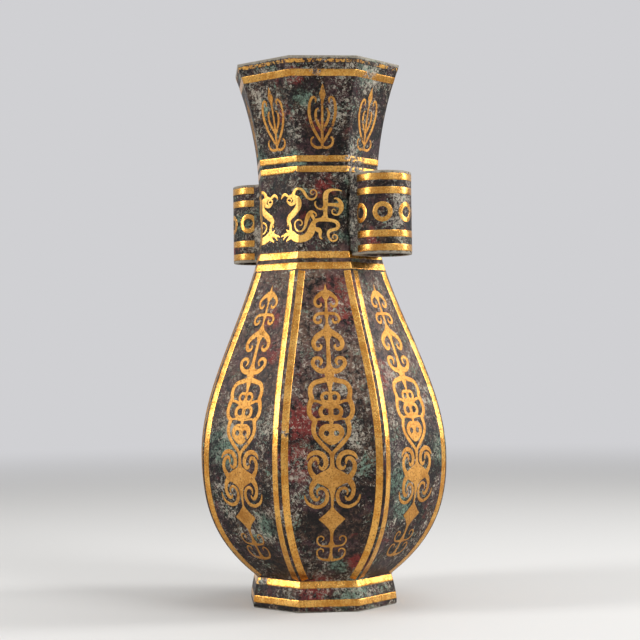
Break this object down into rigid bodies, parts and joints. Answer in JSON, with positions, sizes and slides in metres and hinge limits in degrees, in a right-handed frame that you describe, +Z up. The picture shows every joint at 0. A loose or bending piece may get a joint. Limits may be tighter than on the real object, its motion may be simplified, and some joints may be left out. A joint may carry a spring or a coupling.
{
  "type": "bronze hu vase",
  "caption": "Eight-sided pear-shaped bronze vase with a flared mouth, a foot ring, open tubular ears and flush gold bands, stripes, scrolls and dragons.",
  "frame": {"origin": "centre of the foot ring's underside, on the surface that the vase stands on", "axes": "+Z up along the vase's axis; -Y out of the front panel; the two ears stand on +X and -X"},
  "size_m": [0.1072, 0.1072, 0.24],
  "materials": {
    "vessel_bronze": "patinated bronze, dark brown with green and red patches",
    "ear_bronze": "patinated bronze, dark brown with grey-green crust",
    "plate_bronze": "rough patinated bronze",
    "band_gold": "worn gold, satin",
    "scroll_gold": "worn gold, satin, duller than the bands"
  },
  "bodies": {
    "root": {"vessel_shell": "vessel_bronze", "base_plate": "plate_bronze", "rim_band_upper": "band_gold", "rim_band_lower": "band_gold", "neck_band_upper": "band_gold", "neck_band_lower": "band_gold", "collar_band_upper": "band_gold", "collar_band_lower": "band_gold", "foot_band_upper": "band_gold", "foot_band_lower": "band_gold", "corner_stripe_1_left": "band_gold", "corner_stripe_1_right": "band_gold", "panel_scroll_1": "scroll_gold", "corner_stripe_2_left": "band_gold", "corner_stripe_2_right": "band_gold", "panel_scroll_2": "scroll_gold", "corner_stripe_3_left": "band_gold", "corner_stripe_3_right": "band_gold", "panel_scroll_3": "scroll_gold", "corner_stripe_4_left": "band_gold", "corner_stripe_4_right": "band_gold", "panel_scroll_4": "scroll_gold", "corner_stripe_5_left": "band_gold", "corner_stripe_5_right": "band_gold", "panel_scroll_5": "scroll_gold", "corner_stripe_6_left": "band_gold", "corner_stripe_6_right": "band_gold", "panel_scroll_6": "scroll_gold", "corner_stripe_7_left": "band_gold", "corner_stripe_7_right": "band_gold", "panel_scroll_7": "scroll_gold", "corner_stripe_8_left": "band_gold", "corner_stripe_8_right": "band_gold", "panel_scroll_8": "scroll_gold", "collar_dragon_front_right": "scroll_gold", "collar_dragon_front_left": "scroll_gold", "collar_dragon_back_left": "scroll_gold", "collar_dragon_back_right": "scroll_gold", "ear_tube_right": "ear_bronze", "ear_band_right_1": "band_gold", "ear_band_right_2": "band_gold", "ear_band_right_3": "band_gold", "ear_band_right_4": "band_gold", "ear_ring_right_1": "scroll_gold", "ear_ring_right_2": "scroll_gold", "ear_ring_right_3": "scroll_gold", "ear_ring_right_4": "scroll_gold", "ear_ring_right_5": "scroll_gold", "ear_tube_left": "ear_bronze", "ear_band_left_1": "band_gold", "ear_band_left_2": "band_gold", "ear_band_left_3": "band_gold", "ear_band_left_4": "band_gold", "ear_ring_left_1": "scroll_gold", "ear_ring_left_2": "scroll_gold", "ear_ring_left_3": "scroll_gold", "ear_ring_left_4": "scroll_gold", "ear_ring_left_5": "scroll_gold"}
  },
  "joints": []
}
